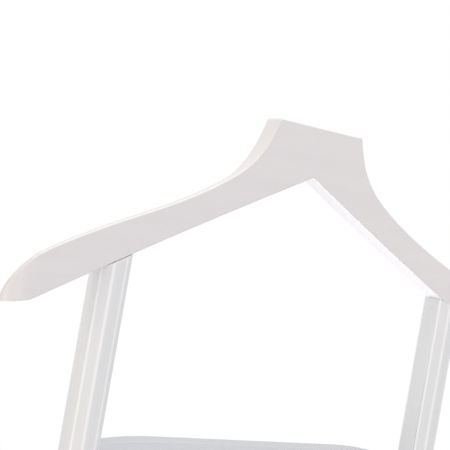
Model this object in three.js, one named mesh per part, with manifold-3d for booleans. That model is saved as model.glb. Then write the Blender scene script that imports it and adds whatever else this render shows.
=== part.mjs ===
// Valet stand in white painted wood: a broad hanger on two uprights, a tray with a
// back board, a trouser bar, a lower rail and a slatted shoe rack on two runners.
// Millimetres. X is the width, Y runs from the front (-Y) to the back, Z is up and the
// floor is Z = 0. The stand is symmetric left to right.
import * as THREE from 'three'
import { mergeVertices } from 'three/addons/utils/BufferGeometryUtils.js'
import Module from 'manifold-3d'

const wasm = await Module()
wasm.setup()

// ---- overall sizes ----
const standHeight = 1120
const runnerLength = 350
const postSpacing = 302.4
const postY = 30

// ---- clearances ----
const seatGap = 0.1
const slipFit = 0.2
const boltFit = 0.4

// ---- uprights ----
const postWidth = 21.4
const postDepth = 30.8
const postChamfer = 6.1
const postX = postSpacing / 2

// ---- hanger ----
const hangerHalf = 227.5
const hangerThick = 18
const hangerTipThick = 14.6
const hangerBow = 21.2
const neckHalf = 38.4
const notchDrop = 37.7
const armSlope = 0.533
const tipStart = 212
const tipSlope = 0.2
const noseLength = 21
const noseFullness = 2.4
const noseDepth = 22.4
const crestRadius = 13
const softEdge = 1.2
const hangerFrontY = postY - 2.5
const neckAndShoulder = [[38.4, 0], [41, -8.5], [47.5, -24], [60, -40], [82, -56.3], [114, -74],
  [170, -99.5], [206, -118], [hangerHalf, -132.4]]

// ---- runners and glides ----
const runnerWidth = 24
const runnerHeight = 46
const runnerPad = 62
const archRise = 14
const runnerNose = 18
const glideRadius = 10
const glideHeight = 4
const glideInset = 26
const glidePinRadius = 2
const glidePinLength = 12

// ---- tray ----
const boardHalf = 158
const boardThick = 12
const boardHeight = 112
const boardShoulderWide = 75
const boardShoulderTall = 20
const boardTop = standHeight - 244
const rimThick = 12
const rimHeight = 36
const rimLift = 6
const trayFrontY = -95
const trayFloorThick = 6
const trayTongueThick = 4
const trayFloorLift = 6
const grooveDepth = 4

// ---- rails and bars ----
const trouserBarRadius = 8
const trouserBarZ = 732
const barSocketDepth = 6
const lowerRailThick = 18
const lowerRailHeight = 58
const lowerRailZ = 232
const slatLength = 326
const slatWidth = 38
const slatThick = 12
const slatCount = 3
const slatPitch = 56

// ---- dowels, screws, bolts ----
const dowelRadius = 4
const smallDowelRadius = 3
const hangerDowelLength = 36
const hangerDowelUp = 15
const railDowelLength = 36
const railDowelInPost = 13
const railDowelSpacing = 32
const rimDowelLength = 24
const rimDowelInFront = 8
const footDowelLength = 24
const footDowelOffset = 9.3
const screwRadius = 2
const screwHeadRadius = 4
const screwHeadHeight = 2.6
const boardScrewLength = 28
const boardScrewDrop = 52
const boardScrewRise = 20
const rimScrewLength = 26
const slatScrewLength = 32
const barScrewLength = 30
const barScrewSink = 4.5
const boltRadius = 3
const boltHeadRadius = 5
const boltHeadHeight = 6
const boltHeadSink = 9
const barrelNutRadius = 5
const barrelNutLength = 14
const barrelNutRise = 30
const capRadius = 6

// ---- places worked out from the sizes above ----
const runnerBottom = glideHeight
const runnerTop = runnerBottom + runnerHeight
const postBottom = runnerTop + seatGap
const postInner = postX - postWidth / 2
const postFront = postY - postDepth / 2
const postBack = postY + postDepth / 2
const armUndersideZ = standHeight - notchDrop - armSlope * postX
const boardFront = postBack + seatGap
const boardBottom = boardTop - boardHeight
const rimBottom = boardBottom + rimLift
const rimTop = rimBottom + rimHeight
const trayFloorBottom = rimBottom + trayFloorLift
const rimOuter = postInner - seatGap
const rimInner = rimOuter - rimThick
const frontRimBack = trayFrontY + rimThick
const slatBottom = runnerTop + seatGap
const slatTop = slatBottom + slatThick
const rimDowelZ = rimBottom + 24
const firstSlatY = -runnerLength / 2 + runnerNose + 22

// ---- paint, wood and metal ----
function finish(colour, roughness, metalness) {
  return new THREE.MeshStandardMaterial({ color: colour, roughness, metalness })
}
const whitePaint = () => finish(0xe6e3e0, 0.42, 0)
const trayPaint = () => finish(0xdcdfe4, 0.45, 0)
const beech = () => finish(0xd2b48a, 0.7, 0)
const zinc = () => finish(0xb9bcc0, 0.35, 0.9)
const whiteCap = () => finish(0xe9e7e4, 0.35, 0)
const greyPad = () => finish(0x8b8c8e, 0.8, 0)

// ---- small tools for solids ----
function solid(geometry) {
  const bare = geometry.clone()
  bare.deleteAttribute('normal')
  bare.deleteAttribute('uv')
  const merged = mergeVertices(bare, 1e-4)
  const vertProperties = new Float32Array(merged.attributes.position.array)
  const triVerts = new Uint32Array(merged.index.array)
  return new wasm.Manifold(new wasm.Mesh({ numProp: 3, vertProperties, triVerts }))
}

function shell(body) {
  const mesh = body.getMesh()
  const geometry = new THREE.BufferGeometry()
  geometry.setAttribute('position', new THREE.BufferAttribute(mesh.vertProperties, 3))
  geometry.setIndex(new THREE.BufferAttribute(mesh.triVerts, 1))
  geometry.computeVertexNormals()
  return geometry
}

const group = new THREE.Group()
group.name = 'valet_stand'

function add(name, body, material, place = [0, 0, 0], turn = [0, 0, 0]) {
  const mesh = new THREE.Mesh(shell(body), material())
  mesh.name = name
  mesh.position.set(...place)
  mesh.rotation.set(...turn)
  group.add(mesh)
}

function polygon(points) {
  return new THREE.Shape(points.map(([a, b]) => new THREE.Vector2(a, b)))
}

// A block from its two corners.
function block(low, high) {
  const size = high.map((value, axis) => value - low[axis])
  const geometry = new THREE.BoxGeometry(...size)
  geometry.translate(low[0] + size[0] / 2, low[1] + size[1] / 2, low[2] + size[2] / 2)
  return solid(geometry)
}

// An outline in X and Z, carried along Y from y0 to y1.
function slabAlongY(shape, y0, y1, bevel = 0) {
  const geometry = new THREE.ExtrudeGeometry(shape, {
    depth: y1 - y0 - 2 * bevel,
    bevelEnabled: bevel > 0,
    bevelThickness: bevel,
    bevelSize: bevel,
    bevelOffset: -bevel,
    bevelSegments: 1,
    curveSegments: 8
  })
  geometry.rotateX(Math.PI / 2)
  geometry.translate(0, y1 - bevel, 0)
  return solid(geometry)
}

// An outline in Y and Z, carried along X from x0 to x1.
function slabAlongX(shape, x0, x1, bevel = 0) {
  const geometry = new THREE.ExtrudeGeometry(shape, {
    depth: x1 - x0 - 2 * bevel,
    bevelEnabled: bevel > 0,
    bevelThickness: bevel,
    bevelSize: bevel,
    bevelOffset: -bevel,
    bevelSegments: 1,
    curveSegments: 4
  })
  geometry.rotateX(Math.PI / 2)
  geometry.rotateZ(Math.PI / 2)
  geometry.translate(x0 + bevel, 0, 0)
  return solid(geometry)
}

// A round pin or hole tool along an axis, starting at a point.
function round(radius, length, start, axis, segments = 16) {
  const geometry = new THREE.CylinderGeometry(radius, radius, length, segments)
  geometry.translate(0, length / 2, 0)
  if (axis === 'x') geometry.rotateZ(-Math.PI / 2)
  if (axis === 'z') geometry.rotateX(Math.PI / 2)
  geometry.translate(...start)
  return solid(geometry)
}

// A turned shape standing along Z. The profile runs up the outside from axis to axis.
function lathe(profile, segments = 16) {
  const geometry = new THREE.LatheGeometry(profile.map(([r, h]) => new THREE.Vector2(r, h)), segments)
  geometry.rotateX(Math.PI / 2)
  return solid(geometry)
}

function cut(body, tools) {
  return tools.reduce((rest, tool) => rest.subtract(tool), body)
}

const sides = [['left', -1], ['right', 1]]

// ---- hanger ----
// Its sections are taken across the width. Each one has a flat front and underside, soft
// front edges and a crest that rolls over to the back along the shoulders.
const shoulderLine = new THREE.CatmullRomCurve3(
  neckAndShoulder.map(([x, z]) => new THREE.Vector3(x, 0, z)), false, 'centripetal')
const shoulderPoints = shoulderLine.getPoints(160)

// The height of the upper edge at a distance from the middle.
function shoulderZ(u) {
  const found = shoulderPoints.findIndex((point) => point.x >= u)
  const next = found < 1 ? shoulderPoints.length - 1 : found
  const a = shoulderPoints[next - 1]
  const b = shoulderPoints[next]
  return a.z + (b.z - a.z) * (u - a.x) / (b.x - a.x)
}

// How far a rounded end has fallen, 0 before it starts and 1 at its end. A fullness of 2 is a
// quarter round, and more is blunter.
function fall(x, start, end, fullness = 2) {
  const t = Math.min(Math.max((x - start) / (end - start), 0), 1)
  return 1 - (1 - t ** fullness) ** (1 / fullness)
}

// A quarter turn clockwise in Y and Z, from an angle counted in quarter turns.
function corner(y, z, radius, quarter, count) {
  return Array.from({ length: count }, (_, i) => {
    const angle = (quarter - i / (count - 1)) * Math.PI / 2
    return [y + radius * Math.cos(angle), z + radius * Math.sin(angle)]
  })
}

function hangerSection(x) {
  const u = Math.abs(x)
  const share = u / hangerHalf
  const thick = hangerThick + (hangerTipThick - hangerThick) * share * share
  const nose = fall(u, hangerHalf - noseDepth, hangerHalf)
  const front = -hangerBow * share * share + (thick - 3) * nose
  const back = -hangerBow * share * share + thick
  const under = -notchDrop - armSlope * u + (armSlope - tipSlope) * Math.max(u - tipStart, 0)
  const plainTop = u <= neckHalf ? 0 : shoulderZ(u)
  const nosed = fall(u, hangerHalf - noseLength, hangerHalf, noseFullness)
  const top = plainTop - (plainTop - under - 3) * nosed
  const rolled = Math.min(Math.max((u - neckHalf - 4) / 24, 0), 1)
  const crest = Math.min(softEdge + (crestRadius - softEdge) * rolled, (back - front) * 0.94,
    (top - under) * 0.6)
  const edge = Math.min(softEdge, (back - front) * 0.2)
  return [
    ...corner(front + edge, under + edge, edge, 3, 3),
    ...corner(front + edge, top - edge, edge, 2, 3),
    ...corner(back - crest, top - crest, crest, 1, 6),
    ...corner(back - edge, under + edge, edge, 0, 3)
  ]
}

// A skin over a row of sections, each a ring of [y, z] points at its own x.
function skin(stations, sectionAt) {
  const rings = stations.map(sectionAt)
  const ringSize = rings[0].length
  const last = stations.length - 1
  const geometry = new THREE.CylinderGeometry(1, 1, 1, ringSize, last)
  const position = geometry.attributes.position
  for (let i = 0; i < position.count; i++) {
    const row = Math.round((position.getY(i) + 0.5) * last)
    const reach = Math.hypot(position.getX(i), position.getZ(i))
    const angle = Math.atan2(-position.getX(i), position.getZ(i))
    const slot = (Math.round(angle / (2 * Math.PI) * ringSize) + ringSize) % ringSize
    const middle = rings[row].reduce((sum, [y, z]) => [sum[0] + y, sum[1] + z], [0, 0])
    const [y, z] = reach < 0.5 ? middle.map((value) => value / ringSize) : rings[row][slot]
    position.setXYZ(i, stations[row], y, z)
  }
  return solid(geometry)
}

const halfStations = []
for (let x = 0; x < neckHalf - 1; x += neckHalf / 3) halfStations.push(x)
halfStations.push(neckHalf)
for (let x = neckHalf + 0.8; x < 48; x += 1.6) halfStations.push(x)
for (let x = 49; x < 84; x += 5) halfStations.push(x)
for (let x = 92; x < hangerHalf - noseLength; x += 14) halfStations.push(x)
for (let i = 0; i <= 12; i++) {
  halfStations.push(hangerHalf - noseLength + noseLength * Math.sin(i / 12.5 * Math.PI / 2))
}
const stations = [...halfStations.slice(1).map((x) => -x).reverse(), ...halfStations]
const hangerDowelY = hangerFrontY - 1.2
const hangerDowelTop = armUndersideZ + hangerDowelUp
const hangerBlank = skin(stations, hangerSection)
const hangerHoles = sides.map(([, side]) => round(
  dowelRadius + slipFit, hangerDowelLength,
  [side * postX, hangerDowelY - hangerFrontY, hangerDowelTop + slipFit - hangerDowelLength - standHeight],
  'z'))
add('hanger', cut(hangerBlank, hangerHoles), whitePaint, [0, hangerFrontY, standHeight])

// ---- screws, bolts and dowels, each standing along its own Z ----
// A countersunk screw: the head's flat face is at the origin and the shank points to -Z.
function woodScrew(length) {
  const blank = lathe([[0, -length], [0.3, -length], [screwRadius, -length + 5],
    [screwRadius, -screwHeadHeight], [screwHeadRadius, -0.4], [screwHeadRadius, 0], [0, 0]], 12)
  const slots = [block([-2.2, -0.45, -1.6], [2.2, 0.45, 1]), block([-0.45, -2.2, -1.6], [0.45, 2.2, 1])]
  return cut(blank, slots)
}

// The space a countersunk screw needs, from its head's face down, sunk by a little.
function screwHole(length, sink = 0) {
  const r = screwRadius + slipFit
  const head = screwHeadRadius + slipFit
  return new THREE.LatheGeometry([[0, -length - 0.5], [r, -length - 0.5],
    [r, -screwHeadHeight - slipFit], [head, -0.4 - slipFit], [head, sink + 2], [0, sink + 2]]
    .map(([a, h]) => new THREE.Vector2(a, h)), 12).rotateX(Math.PI / 2)
}

function dowel(radius, length) {
  const soft = 0.8
  return lathe([[0, 0], [radius - soft, 0], [radius, soft], [radius, length - soft],
    [radius - soft, length], [0, length]])
}

// ---- uprights ----
// The stock is an eight-sided bar. Its top is sawn to the slope of the hanger's underside.
function postStock(side) {
  const halfX = postWidth / 2
  const halfY = postDepth / 2
  const c = postChamfer
  const section = polygon([[-halfX, -halfY + c], [-halfX + c, -halfY], [halfX - c, -halfY],
    [halfX, -halfY + c], [halfX, halfY - c], [halfX - c, halfY], [-halfX + c, halfY],
    [-halfX, halfY - c]])
  const tall = standHeight - postBottom
  const bar = new THREE.ExtrudeGeometry(section, { depth: tall, bevelEnabled: false })
  const seatZ = (x) => armUndersideZ - postBottom - seatGap - side * armSlope * x
  const waste = polygon([[-postWidth, seatZ(-postWidth)], [postWidth, seatZ(postWidth)],
    [postWidth, tall + 1], [-postWidth, tall + 1]])
  return solid(bar).subtract(slabAlongY(waste, -postDepth, postDepth))
}

const footDowelY = -footDowelOffset
const boltTop = barrelNutRise + 3
const boardScrewHeights = [boardTop - boardScrewDrop, boardBottom + boardScrewRise]
const rimScrewZ = rimBottom + rimHeight / 2 + 4
const rimScrewYs = [postFront + 8, postBack - 8]
const railDowelHeights = [lowerRailZ - railDowelSpacing / 2, lowerRailZ + railDowelSpacing / 2]

for (const [word, side] of sides) {
  const inner = -side * postWidth / 2
  const inward = (depth) => Math.min(inner, inner + side * depth)
  const holes = [
    round(dowelRadius + slipFit, hangerDowelLength, [0, hangerDowelY - postY,
      hangerDowelTop - hangerDowelLength - slipFit - postBottom], 'z'),
    round(smallDowelRadius + slipFit, footDowelLength / 2 + 1 + slipFit, [0, footDowelY, -1], 'z'),
    round(boltRadius + boltFit, boltTop + 2, [0, 0, -1], 'z'),
    round(barrelNutRadius + slipFit, barrelNutLength + 2, [inward(barrelNutLength) - 1,
      0, barrelNutRise], 'x'),
    round(trouserBarRadius + slipFit, barSocketDepth + 1,
      [inward(barSocketDepth) - (side > 0 ? 1 : 0), 0, trouserBarZ - postBottom], 'x', 24)
  ]
  for (const z of railDowelHeights) {
    holes.push(round(dowelRadius + slipFit, railDowelInPost + 1 + slipFit,
      [side > 0 ? inner - 1 : inner - railDowelInPost - slipFit, 0, z - postBottom], 'x'))
  }
  for (const z of boardScrewHeights) {
    holes.push(solid(screwHole(boardScrewLength).rotateX(-Math.PI / 2)
      .translate(0, postDepth / 2 + seatGap + boardThick, z - postBottom)))
  }
  for (const y of rimScrewYs) {
    holes.push(solid(screwHole(rimScrewLength).rotateY(-side * Math.PI / 2)
      .translate(inner - side * (rimThick + seatGap), y - postY, rimScrewZ - postBottom)))
  }
  holes.push(solid(screwHole(barScrewLength, barScrewSink).rotateY(side * Math.PI / 2)
    .translate(side * (postWidth / 2 - barScrewSink), 0, trouserBarZ - postBottom)))
  add(`${word}_post`, cut(postStock(side), holes), whitePaint, [side * postX, postY, postBottom])
}

// ---- what holds the uprights ----
for (const [word, side] of sides) {
  const shoulder = runnerBottom + archRise + boltHeadSink
  const shank = postBottom + boltTop - shoulder
  const bolt = lathe([[0, -boltHeadHeight], [boltHeadRadius - 0.6, -boltHeadHeight],
    [boltHeadRadius, -boltHeadHeight + 0.6], [boltHeadRadius, 0], [boltRadius, 0],
    [boltRadius, shank - 1], [boltRadius - 1, shank], [0, shank]])
  const key = round(2.3, 4, [0, 0, -boltHeadHeight - 1], 'z', 6)
  const nut = round(barrelNutRadius, barrelNutLength, [-barrelNutLength / 2, 0, 0], 'x')
  const nutX = side * (postInner + barrelNutLength / 2 + 0.5)
  add(`${word}_post_bolt`, bolt.subtract(key), zinc, [side * postX, postY, shoulder])
  add(`${word}_barrel_nut`, nut.subtract(round(boltRadius + slipFit, 4 * barrelNutRadius,
    [side * postX - nutX, 0, -2 * barrelNutRadius], 'z')), zinc, [nutX, postY, postBottom + barrelNutRise])
  add(`${word}_foot_dowel`, dowel(smallDowelRadius, footDowelLength), beech,
    [side * postX, postY + footDowelY, runnerTop - footDowelLength / 2])
  add(`${word}_hanger_dowel`, dowel(dowelRadius, hangerDowelLength), beech,
    [side * postX, hangerDowelY, hangerDowelTop - hangerDowelLength])
}

// ---- tray ----
// The back board has an arched top: a flat run that drops away at both corners.
const boardShape = new THREE.Shape()
boardShape.moveTo(-boardHalf, boardBottom)
boardShape.lineTo(boardHalf, boardBottom)
boardShape.lineTo(boardHalf, boardTop - boardShoulderTall)
const cornerX = boardHalf - boardShoulderWide
const cornerZ = boardTop - boardShoulderTall
boardShape.absellipse(cornerX, cornerZ, boardShoulderWide, boardShoulderTall, 0, Math.PI / 2, false)
boardShape.absellipse(-cornerX, cornerZ, boardShoulderWide, boardShoulderTall, Math.PI / 2, Math.PI, false)
boardShape.closePath()
// The groove that the floor slides into, for a piece whose own middle is at x.
const floorSpace = (x) => block(
  [-rimInner - grooveDepth - x, frontRimBack - grooveDepth, trayFloorBottom - slipFit],
  [rimInner + grooveDepth - x, boardFront + grooveDepth, trayFloorBottom + trayTongueThick + slipFit])
const boardScrews = sides.flatMap(([word, side]) => boardScrewHeights.map((z, i) => ({
  name: `${word}_board_screw_${['upper', 'lower'][i]}`, x: side * postX, z })))
add('tray_back_board', cut(slabAlongY(boardShape, boardFront, boardFront + boardThick, 1.5), [floorSpace(0),
  ...boardScrews.map(({ x, z }) => solid(screwHole(boardScrewLength).rotateX(-Math.PI / 2)
    .translate(x, boardFront + boardThick, z)))]), trayPaint)
for (const { name, x, z } of boardScrews) {
  add(name, woodScrew(boardScrewLength), zinc, [x, boardFront + boardThick, z], [-Math.PI / 2, 0, 0])
}

function softRectangle(a0, b0, a1, b1, radius) {
  const shape = new THREE.Shape()
  shape.moveTo(a0 + radius, b0)
  shape.absarc(a1 - radius, b0 + radius, radius, -Math.PI / 2, 0, false)
  shape.absarc(a1 - radius, b1 - radius, radius, 0, Math.PI / 2, false)
  shape.absarc(a0 + radius, b1 - radius, radius, Math.PI / 2, Math.PI, false)
  shape.absarc(a0 + radius, b0 + radius, radius, Math.PI, 1.5 * Math.PI, false)
  return shape
}

const rimDowelHole = (x) => round(smallDowelRadius + slipFit, rimDowelLength + 2 * slipFit,
  [x, frontRimBack - rimDowelInFront - slipFit, rimDowelZ], 'y')
const rimMiddle = rimOuter - rimThick / 2
const frontOutline = softRectangle(trayFrontY, rimBottom, frontRimBack, rimTop, 2)
const frontHoles = [floorSpace(0), rimDowelHole(-rimMiddle), rimDowelHole(rimMiddle)]
add('tray_front_rim', cut(slabAlongX(frontOutline, -rimOuter, rimOuter, 1), frontHoles), trayPaint)
for (const [word, side] of sides) {
  const outline = softRectangle(-rimThick / 2, rimBottom, rimThick / 2, rimTop, 2)
  const rim = slabAlongY(outline, frontRimBack + seatGap, boardFront - seatGap)
  const middle = side * rimMiddle
  const screws = rimScrewYs.map((y) => solid(screwHole(rimScrewLength).rotateY(-side * Math.PI / 2)
    .translate(-side * rimThick / 2, y, rimScrewZ)))
  const holes = [...screws, floorSpace(middle), rimDowelHole(0)]
  add(`tray_${word}_rim`, cut(rim, holes), trayPaint, [middle, 0, 0])
  add(`tray_${word}_dowel`, dowel(smallDowelRadius, rimDowelLength), beech,
    [middle, frontRimBack - rimDowelInFront + rimDowelLength, rimDowelZ], [Math.PI / 2, 0, 0])
  rimScrewYs.forEach((y, i) => add(`tray_${word}_screw_${['front', 'rear'][i]}`, woodScrew(rimScrewLength),
    zinc, [side * rimInner, y, rimScrewZ], [0, -side * Math.PI / 2, 0]))
}
// The floor is rebated all round, so that only its tongue goes into the groove.
const floorTongue = block(
  [-rimInner - grooveDepth + slipFit, frontRimBack - grooveDepth + slipFit, trayFloorBottom],
  [rimInner + grooveDepth - slipFit, boardFront + grooveDepth - slipFit, trayFloorBottom + trayTongueThick])
const floorField = block([-rimInner + slipFit, frontRimBack + slipFit, trayFloorBottom + 1],
  [rimInner - slipFit, boardFront - slipFit, trayFloorBottom + trayFloorThick])
add('tray_floor', floorTongue.add(floorField), trayPaint)

// ---- trouser bar ----
const barHalf = postInner + barSocketDepth - slipFit
const barHeadX = postX + postWidth / 2 - barScrewSink
const bar = new THREE.LatheGeometry([[0, -barHalf], [trouserBarRadius - 1, -barHalf],
  [trouserBarRadius, -barHalf + 1], [trouserBarRadius, barHalf - 1], [trouserBarRadius - 1, barHalf],
  [0, barHalf]].map(([r, h]) => new THREE.Vector2(r, h)), 24).rotateZ(-Math.PI / 2)
const barPilots = sides.map(([, side]) => solid(screwHole(barScrewLength).rotateY(side * Math.PI / 2)
  .translate(side * barHeadX, 0, 0)))
add('trouser_bar', cut(solid(bar), barPilots), whitePaint, [0, postY, trouserBarZ])
for (const [word, side] of sides) {
  add(`${word}_bar_screw`, woodScrew(barScrewLength), zinc, [side * barHeadX, postY, trouserBarZ],
    [0, side * Math.PI / 2, 0])
  const plug = screwHeadRadius - slipFit
  add(`${word}_bar_cap`, lathe([[0, -2.4], [plug - 0.4, -2.4], [plug, -2], [plug, 0], [capRadius, 0],
    [capRadius, 0.5], [capRadius - 1, 1.2], [0, 1.6]]), whiteCap,
  [side * (postX + postWidth / 2 + seatGap), postY, trouserBarZ], [0, side * Math.PI / 2, 0])
}

// ---- lower rail ----
const railHalf = postInner - seatGap
const railOutline = softRectangle(-lowerRailThick / 2, lowerRailZ - lowerRailHeight / 2,
  lowerRailThick / 2, lowerRailZ + lowerRailHeight / 2, 2)
const railDowelStart = (side) => (side > 0 ? postInner + railDowelInPost - railDowelLength
  : -postInner - railDowelInPost)
const railHoles = sides.flatMap(([, side]) => railDowelHeights.map((z) => round(dowelRadius + slipFit,
  railDowelLength + slipFit, [railDowelStart(side) - (side > 0 ? slipFit : 0), 0, z], 'x')))
add('lower_rail', cut(slabAlongX(railOutline, -railHalf, railHalf), railHoles), whitePaint, [0, postY, 0])
for (const [word, side] of sides) {
  railDowelHeights.forEach((z, i) => add(`${word}_rail_dowel_${['lower', 'upper'][i]}`,
    dowel(dowelRadius, railDowelLength), beech, [railDowelStart(side), postY, z], [0, Math.PI / 2, 0]))
}

// ---- runners, shoe slats and glides ----
function runnerOutline() {
  const end = runnerLength / 2
  const pad = end - runnerPad
  const rise = 30
  const shape = new THREE.Shape()
  shape.moveTo(-end + 3, 0)
  shape.lineTo(-pad, 0)
  shape.bezierCurveTo(-pad + rise / 2, 0, -pad + rise / 2, archRise, -pad + rise, archRise)
  shape.lineTo(pad - rise, archRise)
  shape.bezierCurveTo(pad - rise / 2, archRise, pad - rise / 2, 0, pad, 0)
  shape.lineTo(end - 3, 0)
  shape.absarc(end - 3, 3, 3, -Math.PI / 2, 0, false)
  shape.absarc(end - runnerNose, runnerHeight - runnerNose, runnerNose, 0, Math.PI / 2, false)
  shape.absarc(-end + runnerNose, runnerHeight - runnerNose, runnerNose, Math.PI / 2, Math.PI, false)
  shape.absarc(-end + 3, 3, 3, Math.PI, 1.5 * Math.PI, false)
  return shape
}

const slatYs = Array.from({ length: slatCount }, (_, i) => firstSlatY + i * slatPitch)
const glideYs = [-runnerLength / 2 + glideInset, runnerLength / 2 - glideInset]
for (const [word, side] of sides) {
  const holes = [
    round(boltRadius + boltFit, runnerHeight + 2, [0, postY, -1], 'z'),
    round(boltHeadRadius + boltFit, archRise + boltHeadSink + 1, [0, postY, -1], 'z'),
    round(smallDowelRadius + slipFit, footDowelLength, [0, postY + footDowelY,
      runnerHeight - footDowelLength / 2 - slipFit], 'z'),
    ...slatYs.map((y) => solid(screwHole(slatScrewLength).translate(0, y, slatTop - runnerBottom))),
    ...glideYs.map((y) => round(glidePinRadius + slipFit, glidePinLength + 1 + slipFit, [0, y, -1], 'z'))
  ]
  add(`${word}_runner`, cut(slabAlongX(runnerOutline(), -runnerWidth / 2, runnerWidth / 2, 1.5), holes),
    whitePaint, [side * postX, 0, runnerBottom])
  slatYs.forEach((y, i) => add(`${word}_slat_screw_${i + 1}`, woodScrew(slatScrewLength), zinc,
    [side * postX, y, slatTop]))
  glideYs.forEach((y, i) => add(`${word}_${['front', 'rear'][i]}_glide`, lathe([[0, 0],
    [glideRadius - 1, 0], [glideRadius, 1], [glideRadius, glideHeight - seatGap],
    [glidePinRadius, glideHeight - seatGap], [glidePinRadius, glideHeight + glidePinLength - 1],
    [glidePinRadius - 1, glideHeight + glidePinLength], [0, glideHeight + glidePinLength]]), greyPad,
  [side * postX, y, 0]))
}
slatYs.forEach((y, i) => {
  const slat = slabAlongX(softRectangle(-slatWidth / 2, 0, slatWidth / 2, slatThick, 2.5),
    -slatLength / 2, slatLength / 2, 1.5)
  const holes = sides.map(([, side]) => solid(screwHole(slatScrewLength)
    .translate(side * postX, 0, slatThick)))
  add(`shoe_slat_${i + 1}`, cut(slat, holes), whitePaint, [0, y, slatBottom])
})

export default group
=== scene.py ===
"""A valet stand in satin white lacquer: a broad hanger on two uprights, a tray with an arched
back board, a trouser bar, a lower rail, and a slatted shoe rack on two arched runners."""
import math

import bmesh
import bpy
from mathutils import Matrix, Vector


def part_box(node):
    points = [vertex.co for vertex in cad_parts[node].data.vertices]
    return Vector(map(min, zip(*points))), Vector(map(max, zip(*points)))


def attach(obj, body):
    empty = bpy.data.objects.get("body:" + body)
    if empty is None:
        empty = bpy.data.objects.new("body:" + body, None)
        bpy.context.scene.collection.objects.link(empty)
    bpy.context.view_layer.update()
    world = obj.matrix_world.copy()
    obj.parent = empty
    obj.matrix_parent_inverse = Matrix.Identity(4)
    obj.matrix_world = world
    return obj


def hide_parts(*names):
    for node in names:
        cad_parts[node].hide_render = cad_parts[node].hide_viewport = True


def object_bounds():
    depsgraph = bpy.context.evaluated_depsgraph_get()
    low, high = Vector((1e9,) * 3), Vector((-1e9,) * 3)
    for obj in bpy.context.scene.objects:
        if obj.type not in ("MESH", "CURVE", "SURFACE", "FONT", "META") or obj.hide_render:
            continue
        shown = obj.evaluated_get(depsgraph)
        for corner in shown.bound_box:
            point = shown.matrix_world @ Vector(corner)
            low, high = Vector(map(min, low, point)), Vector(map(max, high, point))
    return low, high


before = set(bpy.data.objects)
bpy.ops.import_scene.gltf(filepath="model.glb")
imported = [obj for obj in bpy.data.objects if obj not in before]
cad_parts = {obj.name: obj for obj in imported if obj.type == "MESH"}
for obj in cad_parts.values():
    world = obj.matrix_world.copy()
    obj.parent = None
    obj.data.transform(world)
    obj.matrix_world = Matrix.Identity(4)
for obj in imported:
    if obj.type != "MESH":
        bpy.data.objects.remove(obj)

frame_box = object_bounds()
mm = 0.001

# ---- the joiner's sizes, in metres; every place comes from the frame ----
hanger_thick = 18 * mm
hanger_tip_thick = 14.6 * mm
hanger_half = 227.5 * mm
hanger_bow = 21.2 * mm
neck_half = 38.4 * mm
notch_drop = 37.7 * mm
arm_slope = 0.533
tip_start = 212 * mm
tip_slope = 0.2
nose_length = 21 * mm
nose_fullness = 2.4
nose_depth = 22.4 * mm
tip_height = 3 * mm
crest_radius = 13 * mm
roll_start = neck_half + 4 * mm
roll_length = 24 * mm
soft_edge = 1.2 * mm
neck_and_shoulder = [Vector((x * mm, z * mm)) for x, z in (
    (38.4, 0), (41, -8.5), (47.5, -24), (60, -40), (82, -56.3), (114, -74), (170, -99.5),
    (206, -118), (227.5, -132.4))]
post_chamfer = 6.1 * mm
post_arris = 1.1 * mm
post_waste = 20 * mm
board_shoulder_wide = 75 * mm
board_shoulder_tall = 20 * mm
board_arris = 1.5 * mm
rim_round = 2 * mm
slat_round = 2.5 * mm
arch_rise = 14 * mm
arch_bend = 13 * mm
foot_round = 3 * mm
runner_pad = 62 * mm
runner_slope = 30 * mm
runner_nose = 18 * mm
bar_radius = 8 * mm
screw_sink = [(4.3, 0), (4.15, 0.2), (2.3, 2.7), (2.3, 9)]
nut_bore = [(5.5, 0), (5.25, 0.25), (5.25, 15)]
bar_bore = [(8.4, 0), (8.15, 0.25), (8.15, 6.2)]
cap_bore = [(4.4, 0), (4.2, 0.2), (4.2, 4.6)]
bolt_bore = [(5.7, 0), (5.4, 0.3), (5.4, 9)]


# ---- colours and finishes ----
def paint_colour(code, alpha=1.0):
    """A colour swatch given as sRGB hex, turned to linear light."""
    swatch = [int(code[i:i + 2], 16) / 255 for i in (0, 2, 4)]
    return [c / 12.92 if c <= 0.04045 else ((c + 0.055) / 1.055) ** 2.4 for c in swatch] + [alpha]


def add(tree, kind, settings=None, **inputs):
    """Adds one node with its settings; an input is a value, or another node's output to link."""
    made = tree.nodes.new(kind)
    for name, value in (settings or {}).items():
        setattr(made, name, value)
    for name, value in inputs.items():
        socket = made.inputs[int(name[2:]) if name.startswith("in") else name.replace("_", " ")]
        if isinstance(value, bpy.types.NodeSocket):
            tree.links.new(value, socket)
        else:
            socket.default_value = value
    return made


def new_finish(name):
    """An empty material with its output node, and its node tree."""
    finish = bpy.data.materials.new(name)
    finish.use_nodes = True
    finish.node_tree.nodes.clear()
    return finish, finish.node_tree


def stretch(grain, across, along):
    """Pattern scales that run along the grain axis: so many millimetres across it and along it."""
    return [1 / ((along if axis == grain else across) * mm) for axis in "xyz"]


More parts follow.
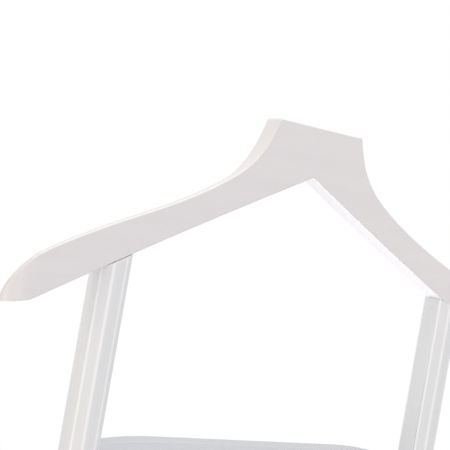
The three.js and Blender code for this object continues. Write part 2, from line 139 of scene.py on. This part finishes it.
def satin_lacquer(name, grain, light, dark, gloss):
    """Satin white lacquer sprayed over close-grained hardwood. The paint is smooth and evenly
    lit, but the grain still prints through as faint long streaks, and the spray leaves a very
    fine ripple that breaks up the sheen."""
    finish, tree = new_finish(name)
    where = add(tree, "ShaderNodeTexCoord").outputs["Object"]
    # Vessels in the wood lie about 0.4 mm apart and 30 mm long; drawn 1.7 mm apart, so they show.
    grain_place = add(tree, "ShaderNodeMapping", Vector=where, Scale=stretch(grain, 1.7, 70))
    streaks = add(tree, "ShaderNodeTexNoise", Vector=grain_place.outputs[0], Scale=1.0, Detail=3.0,
                  Roughness=0.6)
    # Growth rings show as soft bands about 11 mm wide that run most of the plank's length.
    band_place = add(tree, "ShaderNodeMapping", Vector=where, Scale=stretch(grain, 11, 320))
    bands = add(tree, "ShaderNodeTexNoise", Vector=band_place.outputs[0], Scale=1.0, Detail=2.0)
    # Spray ripple, about 2.4 mm from crest to crest and the same in every direction.
    ripple_place = add(tree, "ShaderNodeMapping", Vector=where, Scale=[1 / (2.4 * mm)] * 3)
    ripple = add(tree, "ShaderNodeTexNoise", Vector=ripple_place.outputs[0], Scale=1.0, Detail=1.0)
    half = add(tree, "ShaderNodeMath", {"operation": "MULTIPLY"}, in0=streaks.outputs["Fac"],
               in1=0.5)
    both = add(tree, "ShaderNodeMath", {"operation": "MULTIPLY_ADD"}, in0=bands.outputs["Fac"],
               in1=0.5, in2=half.outputs[0])
    tone = add(tree, "ShaderNodeMapRange", Value=both.outputs[0], From_Min=0.36, From_Max=0.64)
    colour = add(tree, "ShaderNodeMix", {"data_type": "RGBA"}, in0=tone.outputs[0],
                 in6=paint_colour(dark), in7=paint_colour(light))
    sheen = add(tree, "ShaderNodeMapRange", Value=both.outputs[0], From_Min=0.3, From_Max=0.7,
                To_Min=gloss + 0.05, To_Max=gloss - 0.04)
    grain_bump = add(tree, "ShaderNodeBump", Strength=0.17, Distance=0.1 * mm,
                     Height=streaks.outputs["Fac"])
    bump = add(tree, "ShaderNodeBump", Strength=0.12, Distance=0.08 * mm,
               Height=ripple.outputs["Fac"], Normal=grain_bump.outputs[0])
    paint = add(tree, "ShaderNodeBsdfPrincipled", Base_Color=colour.outputs[2],
                Roughness=sheen.outputs[0], IOR=1.5, Normal=bump.outputs[0],
                Coat_Weight=0.2, Coat_Roughness=0.14)
    add(tree, "ShaderNodeOutputMaterial", Surface=paint.outputs[0])
    return finish


def bare_beech(name, grain):
    """Turned beech dowel, unfinished: pale pinkish brown, with the short dark flecks of its
    rays."""
    finish, tree = new_finish(name)
    where = add(tree, "ShaderNodeTexCoord").outputs["Object"]
    grain_place = add(tree, "ShaderNodeMapping", Vector=where, Scale=stretch(grain, 1.2, 24))
    rings = add(tree, "ShaderNodeTexNoise", Vector=grain_place.outputs[0], Scale=1.0, Detail=4.0)
    # Rays are flecks 0.5 mm by 3 mm.
    fleck_place = add(tree, "ShaderNodeMapping", Vector=where, Scale=stretch(grain, 0.5, 3))
    flecks = add(tree, "ShaderNodeTexVoronoi", Vector=fleck_place.outputs[0], Scale=1.0)
    wood = add(tree, "ShaderNodeMix", {"data_type": "RGBA"}, in0=rings.outputs["Fac"],
               in6=paint_colour("C99E71"), in7=paint_colour("E2C298"))
    spots = add(tree, "ShaderNodeMapRange", Value=flecks.outputs["Distance"], From_Min=0.0,
                From_Max=0.3, To_Min=0.35, To_Max=0.0)
    colour = add(tree, "ShaderNodeMix", {"data_type": "RGBA"}, in0=spots.outputs[0],
                 in6=wood.outputs[2], in7=paint_colour("A87445"))
    bump = add(tree, "ShaderNodeBump", Strength=0.3, Distance=0.1 * mm, Height=rings.outputs["Fac"])
    bare = add(tree, "ShaderNodeBsdfPrincipled", Base_Color=colour.outputs[2], Roughness=0.62,
               IOR=1.5, Normal=bump.outputs[0])
    add(tree, "ShaderNodeOutputMaterial", Surface=bare.outputs[0])
    return finish


def bright_zinc(name):
    """Zinc plated steel: a cool grey metal whose plating clouds the shine in patches, with fine
    marks from the driver and the box it came in."""
    finish, tree = new_finish(name)
    where = add(tree, "ShaderNodeTexCoord").outputs["Object"]
    # Clouding in the plating, about 2.5 mm across.
    cloud_place = add(tree, "ShaderNodeMapping", Vector=where, Scale=[1 / (2.5 * mm)] * 3)
    clouds = add(tree, "ShaderNodeTexNoise", Vector=cloud_place.outputs[0], Scale=1.0, Detail=4.0)
    # Handling scratches, 0.3 mm apart.
    mark_place = add(tree, "ShaderNodeMapping", Vector=where,
                     Scale=[1 / (0.3 * mm), 1 / (1.6 * mm), 1 / (0.9 * mm)])
    marks = add(tree, "ShaderNodeTexNoise", Vector=mark_place.outputs[0], Scale=1.0, Detail=2.0)
    colour = add(tree, "ShaderNodeMix", {"data_type": "RGBA"}, in0=clouds.outputs["Fac"],
                 in6=paint_colour("B4B7BB"), in7=paint_colour("CFD1D2"))
    shine = add(tree, "ShaderNodeMapRange", Value=clouds.outputs["Fac"], From_Min=0.3, From_Max=0.7,
                To_Min=0.24, To_Max=0.4)
    bump = add(tree, "ShaderNodeBump", Strength=0.2, Distance=0.02 * mm,
               Height=marks.outputs["Fac"])
    metal = add(tree, "ShaderNodeBsdfPrincipled", Base_Color=colour.outputs[2], Metallic=1.0,
                Roughness=shine.outputs[0], Normal=bump.outputs[0])
    add(tree, "ShaderNodeOutputMaterial", Surface=metal.outputs[0])
    return finish


def moulded_plastic(name, light, dark, rough, grit, depth):
    """Injection moulded plastic: one colour right through, with the fine even spark texture of
    the mould on its face."""
    finish, tree = new_finish(name)
    where = add(tree, "ShaderNodeTexCoord").outputs["Object"]
    place = add(tree, "ShaderNodeMapping", Vector=where, Scale=[1 / (grit * mm)] * 3)
    spark = add(tree, "ShaderNodeTexNoise", Vector=place.outputs[0], Scale=1.0, Detail=2.0)
    colour = add(tree, "ShaderNodeMix", {"data_type": "RGBA"}, in0=spark.outputs["Fac"],
                 in6=paint_colour(dark), in7=paint_colour(light))
    bump = add(tree, "ShaderNodeBump", Strength=0.3, Distance=depth * mm,
               Height=spark.outputs["Fac"])
    plastic = add(tree, "ShaderNodeBsdfPrincipled", Base_Color=colour.outputs[2], Roughness=rough,
                  IOR=1.46, Normal=bump.outputs[0])
    add(tree, "ShaderNodeOutputMaterial", Surface=plastic.outputs[0])
    return finish


white = {axis: satin_lacquer(f"satin_lacquer_grain_{axis}", axis, "F0ECED", "EDE9EA", 0.34)
         for axis in "xy"}
post_white = satin_lacquer("satin_lacquer_upright", "z", "F0F1F3", "EAECEE", 0.26)
# The uprights' rounded arrises are painted pure white, whiter than the uprights: a painted
# highlight for the light each edge catches.
arris_painted_highlight = satin_lacquer("satin_lacquer_arris_painted_highlight", "z", "FFFFFF", "FBFBFB", 0.2)
# The tray's lacquer is a darker, bluer copy of the white: painted shade for the tray, which sits
# low and behind the uprights.
tray_white_painted_shade = {axis: satin_lacquer(f"tray_lacquer_painted_shade_grain_{axis}", axis, "E7E9EC", "E3E5E8", 0.40)
              for axis in "xy"}
# The board's edges are painted darker than its faces: painted shade, so its top edge stays dim
# under the overhead light; they are also less glossy.
board_edge_painted_shade = satin_lacquer("satin_lacquer_board_edge_painted_shade", "x", "CDCFD3", "C9CBCF", 0.50)
beech = {axis: bare_beech(f"bare_beech_grain_{axis}", axis) for axis in "xyz"}
zinc = bright_zinc("zinc_plated_steel")
cap_plastic = moulded_plastic("moulded_white_cap", "F0EFEC", "E7E6E2", 0.32, 0.5, 0.03)
pad_nylon = moulded_plastic("moulded_grey_nylon", "9A9B9C", "868789", 0.55, 0.6, 0.06)


# ---- tools of the workshop ----
def blank():
    return bmesh.new()


def is_along(edge, axis):
    """True for an edge that runs straight along an axis."""
    run = edge.verts[1].co - edge.verts[0].co
    return abs(run["xyz".index(axis)]) > 0.999 * run.length


def ease(bm, edges, width, steps=3):
    """Rounds edges over with a router bit of that width."""
    return bmesh.ops.bevel(bm, geom=list(edges), offset=width, offset_type="OFFSET", segments=steps,
                           profile=0.5, affect="EDGES", material=-1, clamp_overlap=False)


def round_corners(bm, corners, radius, steps):
    """Rounds corners of a flat outline."""
    return bmesh.ops.bevel(bm, geom=list(corners), offset=radius, offset_type="OFFSET",
                           segments=steps, profile=0.5, affect="VERTICES", material=-1,
                           clamp_overlap=False)


def plank(low, high, along, edge_round, end_round, edge_steps=4, end_steps=3):
    """A planed plank that fills a box, its long edges rounded over first and then its ends."""
    bm = rough_block(low, high)
    ease(bm, [e for e in bm.edges if is_along(e, along)], edge_round, edge_steps)
    axis = "xyz".index(along)
    for end in (low[axis], high[axis]):
        ease(bm, [e for e in bm.edges if all(abs(v.co[axis] - end) < 1e-6 for v in e.verts)],
             end_round, end_steps)
    return bm


def follow(bm, ring, place):
    """Draws a ring of edges on by one step; place gives each new corner its spot."""
    made = bmesh.ops.extrude_edge_only(bm, edges=ring)["geom"]
    for corner in (g for g in made if isinstance(g, bmesh.types.BMVert)):
        corner.co = place(corner.co)
    fresh = {g for g in made if isinstance(g, bmesh.types.BMVert)}
    return [g for g in made if isinstance(g, bmesh.types.BMEdge) and set(g.verts) <= fresh]


def bore(bm, facing, holes):
    """Bores round recesses into the flat face that looks along facing. holes is a list of
    (centre, steps), and steps the radius and depth in millimetres of each ring."""
    facing = Vector(facing)
    first = holes[0][0]
    face = max((f for f in bm.faces if f.normal.dot(facing) > 0.999
                and abs((f.calc_center_median() - first).dot(facing)) < 0.05 * mm),
               key=lambda f: f.calc_area())
    border = list(face.edges)
    bmesh.ops.delete(bm, geom=[face], context="FACES_ONLY")
    turn = facing.to_track_quat("Z", "Y").to_matrix().to_4x4()
    rings = []
    for centre, steps in holes:
        made = bmesh.ops.create_circle(bm, segments=32, radius=steps[0][0] * mm,
                                       matrix=Matrix.Translation(centre) @ turn)
        rings.append(list({e for v in made["verts"] for e in v.link_edges}))
    bmesh.ops.triangle_fill(bm, use_beauty=True, normal=facing,
                            edges=border + [e for ring in rings for e in ring])
    for (centre, steps), ring in zip(holes, rings):
        for radius, depth in steps[1:]:
            def place(spot, radius=radius, depth=depth):
                out = spot - centre
                out -= facing * out.dot(facing)
                return centre - facing * depth * mm + out.normalized() * radius * mm
            ring = follow(bm, ring, place)
        bmesh.ops.contextual_create(bm, geom=ring)


replaced = set()


def finish_piece(bm, name, node, finishes, crease=34):
    """Closes a blank, gives it its finishes, and puts it in place of its frame node."""
    bmesh.ops.remove_doubles(bm, verts=bm.verts, dist=1e-7)
    bmesh.ops.recalc_face_normals(bm, faces=bm.faces)
    for face in bm.faces:
        face.smooth = True
    for edge in bm.edges:
        edge.smooth = edge.is_manifold and edge.calc_face_angle(0) < math.radians(crease)
    mesh = bpy.data.meshes.new(name)
    bm.to_mesh(mesh)
    bm.free()
    for finish in finishes:
        mesh.materials.append(finish)
    piece = bpy.data.objects.new(name, mesh)
    bpy.context.scene.collection.objects.link(piece)
    even = piece.modifiers.new("even_shading", "WEIGHTED_NORMAL")
    even.keep_sharp = True
    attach(piece, "root")
    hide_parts(node)
    replaced.add(node)


def box_of(node):
    low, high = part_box(node)
    return Vector(low), Vector(high)


def middle_of(node):
    low, high = box_of(node)
    return (low + high) / 2


def rough_block(low, high):
    """A square block that fills a box, before its edges are worked."""
    bm = blank()
    bmesh.ops.create_cube(bm, size=1, matrix=Matrix.Translation((low + high) / 2)
                          @ Matrix.Diagonal((*(high - low), 1)))
    return bm


# ---- the hanger: one board, bowed forward at the tips, its crest rolled over to the back ----
hanger_low, hanger_high = box_of("hanger")


def shoulder_line(points, per_span=16):
    """A smooth line through the neck and shoulder points, as a spline laid over them."""
    before = points[0] * 2 - points[1]
    after = points[-1] * 2 - points[-2]
    knots = [before, *points, after]
    line = []
    for a, b, c, d in zip(knots, knots[1:], knots[2:], knots[3:]):
        ta = 0.0
        tb = ta + math.sqrt((b - a).length)
        tc = tb + math.sqrt((c - b).length)
        td = tc + math.sqrt((d - c).length)
        for i in range(per_span):
            t = tb + (tc - tb) * i / per_span
            ab = a * ((tb - t) / (tb - ta)) + b * ((t - ta) / (tb - ta))
            bc = b * ((tc - t) / (tc - tb)) + c * ((t - tb) / (tc - tb))
            cd = c * ((td - t) / (td - tc)) + d * ((t - tc) / (td - tc))
            abc = ab * ((tc - t) / (tc - ta)) + bc * ((t - ta) / (tc - ta))
            bcd = bc * ((td - t) / (td - tb)) + cd * ((t - tb) / (td - tb))
            line.append(abc * ((tc - t) / (tc - tb)) + bcd * ((t - tb) / (tc - tb)))
    return line + [points[-1]]


# The neck's two top corners are eased by about a millimetre before the spline takes over.
shoulder = [Vector((36.9 * mm, 0)), Vector((37.5 * mm, -0.1 * mm)), Vector((38.0 * mm, -0.4 * mm)),
            Vector((38.4 * mm, -0.95 * mm))]
shoulder += [p for p in shoulder_line(neck_and_shoulder) if p.y < -1.4 * mm]


def shoulder_height(u):
    """How far the top line is below the neck's top, and how steeply it falls there."""
    if u <= shoulder[0].x:
        return 0.0, 0.0
    for a, b in zip(shoulder, shoulder[1:]):
        if u <= b.x:
            slope = (b.y - a.y) / (b.x - a.x)
            return a.y + slope * (u - a.x), slope
    return shoulder[-1].y, 0.0


def falling(x, start, end, fullness=2.0):
    """How far a rounded nose has fallen away between start and end, from 0 to 1. A fullness of 2
    is a quarter round, and more is blunter."""
    t = min(max((x - start) / (end - start), 0.0), 1.0)
    return 1 - (1 - t ** fullness) ** (1 / fullness)


def hanger_ring(bm, x):
    """One cross-section of the hanger, as a closed ring of edges."""
    u = abs(x)
    share = u / hanger_half
    thick = hanger_thick + (hanger_tip_thick - hanger_thick) * share ** 2
    nose = falling(u, hanger_half - nose_depth, hanger_half)
    face = hanger_high.y - hanger_thick - hanger_bow * share ** 2
    front = face + (thick - tip_height) * nose
    back = face + thick
    under = -notch_drop - arm_slope * u + (arm_slope - tip_slope) * max(u - tip_start, 0)
    top, slope = shoulder_height(u)
    nose_top = falling(u, hanger_half - nose_length, hanger_half, nose_fullness)
    top -= (top - under - tip_height) * nose_top
    rolled = min(max((u - roll_start) / roll_length, 0), 1)
    edge = min(soft_edge, (back - front) * 0.2)
    tall = min(edge * math.sqrt(1 + min(slope * slope, 9)), (top - under) * 0.2)
    crest = min(soft_edge + (crest_radius - soft_edge) * rolled, (back - front) * 0.94,
                (top - under) * 0.6)
    crest_tall = max(crest, tall)
    # Each corner has its centre, its two radii, the quarter turn it starts from, and its steps.
    corners = ((front + edge, under + edge, edge, edge, 3, 4),
               (front + edge, top - tall, edge, tall, 2, 4),
               (back - crest, top - crest_tall, crest, crest_tall, 1, 10),
               (back - edge, under + edge, edge, edge, 0, 4))
    ring = []
    for y, z, wide, high, quarter, steps in corners:
        for i in range(steps + 1):
            angle = math.pi / 2 * (quarter - i / steps)
            ring.append(bm.verts.new((x, y + wide * math.cos(angle),
                                      hanger_high.z + z + high * math.sin(angle))))
    return [bm.edges.new(pair) for pair in zip(ring, ring[1:] + ring[:1])]


def spread(start, end, step):
    """Even stations from start up to end, no further apart than step."""
    count = math.ceil((end - start) / step)
    return [start + (end - start) * i / count for i in range(count)]


half_stations = (spread(0, 36.9 * mm, 5 * mm) + spread(36.9 * mm, 39.4 * mm, 0.28 * mm)
                 + spread(39.4 * mm, 50 * mm, 0.8 * mm) + spread(50 * mm, 86 * mm, 2.5 * mm)
                 + spread(86 * mm, hanger_half - nose_length, 5 * mm))
half_stations += [hanger_half - nose_length * (1 - math.sin(i / 28.5 * math.pi / 2))
                  for i in range(29)]
bm = blank()
rings = [hanger_ring(bm, x) for x in [-s for s in reversed(half_stations[1:])] + half_stations]
for before, after in zip(rings, rings[1:]):
    bmesh.ops.bridge_loops(bm, edges=before + after)
for end in (rings[0], rings[-1]):
    bmesh.ops.contextual_create(bm, geom=end)
finish_piece(bm, "hanger_board", "hanger", [white["x"]], 50)

# ---- the uprights: chamfered bars, cut to the hanger's slope at the top ----
bar_z = middle_of("trouser_bar").z
for side, word in ((-1, "left"), (1, "right")):
    low, high = box_of(f"{word}_post")
    inner, outer = (high.x, low.x) if side < 0 else (low.x, high.x)
    middle_y = (low.y + high.y) / 2
    bm = rough_block(low, high + Vector((0, 0, post_waste)))
    ease(bm, [e for e in bm.edges if is_along(e, "z")], post_chamfer, 1)
    seat = Vector((side * arm_slope, 0, 1)).normalized()
    bmesh.ops.bisect_plane(bm, geom=bm.verts[:] + bm.edges[:] + bm.faces[:], dist=1e-6,
                           plane_co=(inner, middle_y, high.z), plane_no=seat, clear_outer=True)
    bmesh.ops.contextual_create(bm, geom=[e for e in bm.edges if e.is_boundary])
    bmesh.ops.recalc_face_normals(bm, faces=bm.faces)
    # The arrises take the second finish, the painted highlight.
    for face in ease(bm, [e for e in bm.edges if is_along(e, "z")], post_arris, 3)["faces"]:
        face.material_index = 1
    ends = [f for f in bm.faces if abs(f.normal.dot(seat)) > 0.999 or f.normal.z < -0.999]
    ease(bm, {e for f in ends for e in f.edges}, 0.4 * mm, 2)
    nut_z = middle_of(f"{word}_barrel_nut").z
    bore(bm, (-side, 0, 0), [(Vector((inner, middle_y, nut_z)), nut_bore),
                             (Vector((inner, middle_y, bar_z)), bar_bore)])
    bore(bm, (side, 0, 0), [(Vector((outer, middle_y, bar_z)), cap_bore)])
    finish_piece(bm, f"{word}_upright", f"{word}_post", [post_white, arris_painted_highlight])

# ---- the tray ----
low, high = box_of("tray_back_board")
bm = rough_block(low, high)
ease(bm, [e for e in bm.edges if is_along(e, "y") and e.verts[0].co.z > low.z + 1 * mm],
     board_shoulder_wide, 28)
# The round corners are pressed flat, into shoulders that fall away slowly.
for corner in bm.verts:
    drop = high.z - corner.co.z
    if drop < board_shoulder_wide + 1e-6:
        corner.co.z = high.z - drop * board_shoulder_tall / board_shoulder_wide
bm.normal_update()
ease(bm, {e for f in bm.faces if abs(f.normal.y) > 0.999 for e in f.edges}, board_arris)
# The edge faces take the second finish, the painted shade.
for face in bm.faces:
    if abs(face.normal.y) < 0.9:
        face.material_index = 1
holes = []
for word in ("left", "right"):
    for height in ("upper", "lower"):
        centre = middle_of(f"{word}_board_screw_{height}")
        holes.append((Vector((centre.x, high.y, centre.z)), screw_sink))
bore(bm, (0, 1, 0), holes)
finish_piece(bm, "arched_back_board", "tray_back_board",
             [tray_white_painted_shade["x"], board_edge_painted_shade])

low, high = box_of("tray_front_rim")
finish_piece(plank(low, high, "x", rim_round, 1 * mm), "front_rim", "tray_front_rim",
             [tray_white_painted_shade["x"]])
for side, word in ((-1, "left"), (1, "right")):
    low, high = box_of(f"tray_{word}_rim")
    bm = plank(low, high, "y", rim_round, 0.4 * mm)
    inner = high.x if side < 0 else low.x
    holes = []
    for place in ("front", "rear"):
        centre = middle_of(f"tray_{word}_screw_{place}")
        holes.append((Vector((inner, centre.y, centre.z)), screw_sink))
    bore(bm, (-side, 0, 0), holes)
    finish_piece(bm, f"{word}_rim", f"tray_{word}_rim", [tray_white_painted_shade["y"]])

# ---- the trouser bar and the lower rail ----
bar_low, bar_high = box_of("trouser_bar")
bm = blank()
middle = (bar_low + bar_high) / 2
ring = bmesh.ops.create_circle(bm, segments=48, radius=bar_radius - 1 * mm,
                               matrix=Matrix.Translation((bar_low.x, middle.y, middle.z))
                               @ Matrix.Rotation(math.pi / 2, 4, "Y"))
ring = list({e for v in ring["verts"] for e in v.link_edges})
first_ring = ring
for x, radius in ((bar_low.x + 0.3 * mm, bar_radius - 0.3 * mm), (bar_low.x + 1 * mm, bar_radius),
                  (bar_high.x - 1 * mm, bar_radius), (bar_high.x - 0.3 * mm, bar_radius - 0.3 * mm),
                  (bar_high.x, bar_radius - 1 * mm)):
    def turned(spot, x=x, radius=radius):
        out = Vector((0, spot.y - middle.y, spot.z - middle.z)).normalized() * radius
        return Vector((x, middle.y + out.y, middle.z + out.z))
    ring = follow(bm, ring, turned)
for end in (first_ring, ring):
    bmesh.ops.contextual_create(bm, geom=end)
finish_piece(bm, "round_trouser_bar", "trouser_bar", [white["x"]])

low, high = box_of("lower_rail")
finish_piece(plank(low, high, "x", rim_round, 0.3 * mm), "stretcher_rail", "lower_rail",
             [white["x"]])

# ---- the runners and the shoe slats ----
for side, word in ((-1, "left"), (1, "right")):
    low, high = box_of(f"{word}_runner")
    arch = low.z + arch_rise
    pad_front = low.y + runner_pad
    pad_back = high.y - runner_pad
    bm = blank()
    outline = [bm.verts.new((low.x, y, z)) for y, z in (
        (low.y, low.z), (pad_front, low.z), (pad_front + runner_slope, arch),
        (pad_back - runner_slope, arch), (pad_back, low.z), (high.y, low.z), (high.y, high.z),
        (low.y, high.z))]
    bm.faces.new(outline)
    round_corners(bm, outline[6:], runner_nose, 14)
    feet = [v for v in bm.verts if abs(v.co.z - low.z) < 1e-6
            and (v.co.y < low.y + 1e-6 or v.co.y > high.y - 1e-6)]
    round_corners(bm, feet, foot_round, 5)
    bends = [v for v in bm.verts if low.y + runner_pad - 1e-6 < v.co.y < high.y - runner_pad + 1e-6
             and v.co.z < arch + 1e-6]
    round_corners(bm, bends, arch_bend, 10)
    made = bmesh.ops.extrude_face_region(bm, geom=bm.faces[:])["geom"]
    bmesh.ops.translate(bm, vec=(high.x - low.x, 0, 0),
                        verts=[g for g in made if isinstance(g, bmesh.types.BMVert)])
    bmesh.ops.recalc_face_normals(bm, faces=bm.faces)
    ease(bm, {e for f in bm.faces if abs(f.normal.x) > 0.999 for e in f.edges}, board_arris)
    bolt = middle_of(f"{word}_post_bolt")
    bore(bm, (0, 0, -1), [(Vector((bolt.x, bolt.y, arch)), bolt_bore)])
    finish_piece(bm, f"{word}_arched_runner", f"{word}_runner", [white["y"]])

for number in (1, 2, 3):
    low, high = box_of(f"shoe_slat_{number}")
    bm = plank(low, high, "x", slat_round, 1.5 * mm)
    holes = []
    for word in ("left", "right"):
        centre = middle_of(f"{word}_slat_screw_{number}")
        holes.append((Vector((centre.x, centre.y, high.z)), screw_sink))
    bore(bm, (0, 0, 1), holes)
    finish_piece(bm, f"slat_{number}", f"shoe_slat_{number}", [white["x"]])

# ---- what stays as the frame has it: screws, bolts, dowels, caps, glides and the tray floor ----
for name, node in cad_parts.items():
    if name in replaced:
        continue
    if "dowel" in name:
        low, high = box_of(name)
        spans = high - low
        finish = beech["xyz"[max(range(3), key=lambda i: spans[i])]]
    elif "screw" in name or "bolt" in name or "nut" in name:
        finish = zinc
    elif "cap" in name:
        finish = cap_plastic
    elif "glide" in name:
        finish = pad_nylon
    else:
        # Whatever else stays, the tray floor among it, takes the tray's darker lacquer, the painted
        # shade.
        finish = tray_white_painted_shade["x"]
    node.data.materials.clear()
    node.data.materials.append(finish)

# ---- the studio: a pale floor, a soft white room, and four softboxes ----
scene = bpy.context.scene
scene.view_settings.view_transform = "Standard"
scene.view_settings.look = "None"

bm = blank()
bmesh.ops.create_circle(bm, cap_ends=True, segments=96, radius=2.6)
floor_mesh = bpy.data.meshes.new("studio_floor")
bm.to_mesh(floor_mesh)
bm.free()
floor = bpy.data.objects.new("studio_floor", floor_mesh)
scene.collection.objects.link(floor)
floor.location = (0, 0, frame_box[0][2] - 0.3 * mm)
floor_finish, tree = new_finish("matt_studio_floor")
matt = add(tree, "ShaderNodeBsdfPrincipled", Base_Color=paint_colour("F1F1F1"), Roughness=0.8)
add(tree, "ShaderNodeOutputMaterial", Surface=matt.outputs[0])
floor_mesh.materials.append(floor_finish)

world = bpy.data.worlds.new("white_studio")
world.use_nodes = True
scene.world = world
tree = world.node_tree
tree.nodes.clear()
ray = add(tree, "ShaderNodeLightPath")
room = add(tree, "ShaderNodeBackground", Color=paint_colour("FCFAF9"), Strength=0.687)
backdrop = add(tree, "ShaderNodeBackground", Color=paint_colour("FFFFFF"), Strength=1.0)
mixed = add(tree, "ShaderNodeMixShader", in0=ray.outputs["Is Camera Ray"], in1=room.outputs[0],
            in2=backdrop.outputs[0])
add(tree, "ShaderNodeOutputWorld", Surface=mixed.outputs[0])


def softbox(name, place, aim, wide, high, power, colour, beam=180):
    """A large soft light at place, turned to look at aim. Its grid narrows it to a beam."""
    lamp = bpy.data.lights.new(name, "AREA")
    lamp.shape = "RECTANGLE"
    lamp.size = wide
    lamp.size_y = high
    lamp.energy = power
    lamp.spread = math.radians(beam)
    lamp.color = paint_colour(colour)[:3]
    held = bpy.data.objects.new(name, lamp)
    scene.collection.objects.link(held)
    held.location = place
    held.rotation_euler = (Vector(aim) - Vector(place)).to_track_quat("-Z", "Y").to_euler()
    held.visible_camera = False


softbox("warm_window", (-1.45, -0.1, 0.9), (-0.15, 0.03, 0.9), 0.2, 1.4, 3.2, "FFF0DC")
softbox("cool_front", (-0.45, -1.6, 1.2), (-0.15, 0, 0.9), 0.15, 1.3, 1.7, "F2F2FF")
softbox("overhead", (0.2, -0.2, 2.9), (0.2, -0.2, 0), 2.4, 2.4, 27, "FFFFFF")
softbox("low_bounce", (0.12, 0.55, 0.1), (0.12, 0.035, 1.02), 0.5, 0.5, 0.68, "ECF4FF", 50)

# ---- the camera ----
camera_data = bpy.data.cameras.new("camera")
camera_data.sensor_width = 36
camera_data.lens = 82.44
camera = bpy.data.objects.new("camera", camera_data)
scene.collection.objects.link(camera)
looking = Vector((0.52271, 0.85251, -0.00206)).normalized()
upward = Vector((-0.14628, 0.09207, 0.98495)).normalized()
rightward = looking.cross(upward).normalized()
camera.matrix_world = Matrix.Translation((-0.45195, -0.59612, 1.03809)) @ Matrix(
    (rightward, rightward.cross(looking), -looking)).transposed().to_4x4()
scene.camera = camera
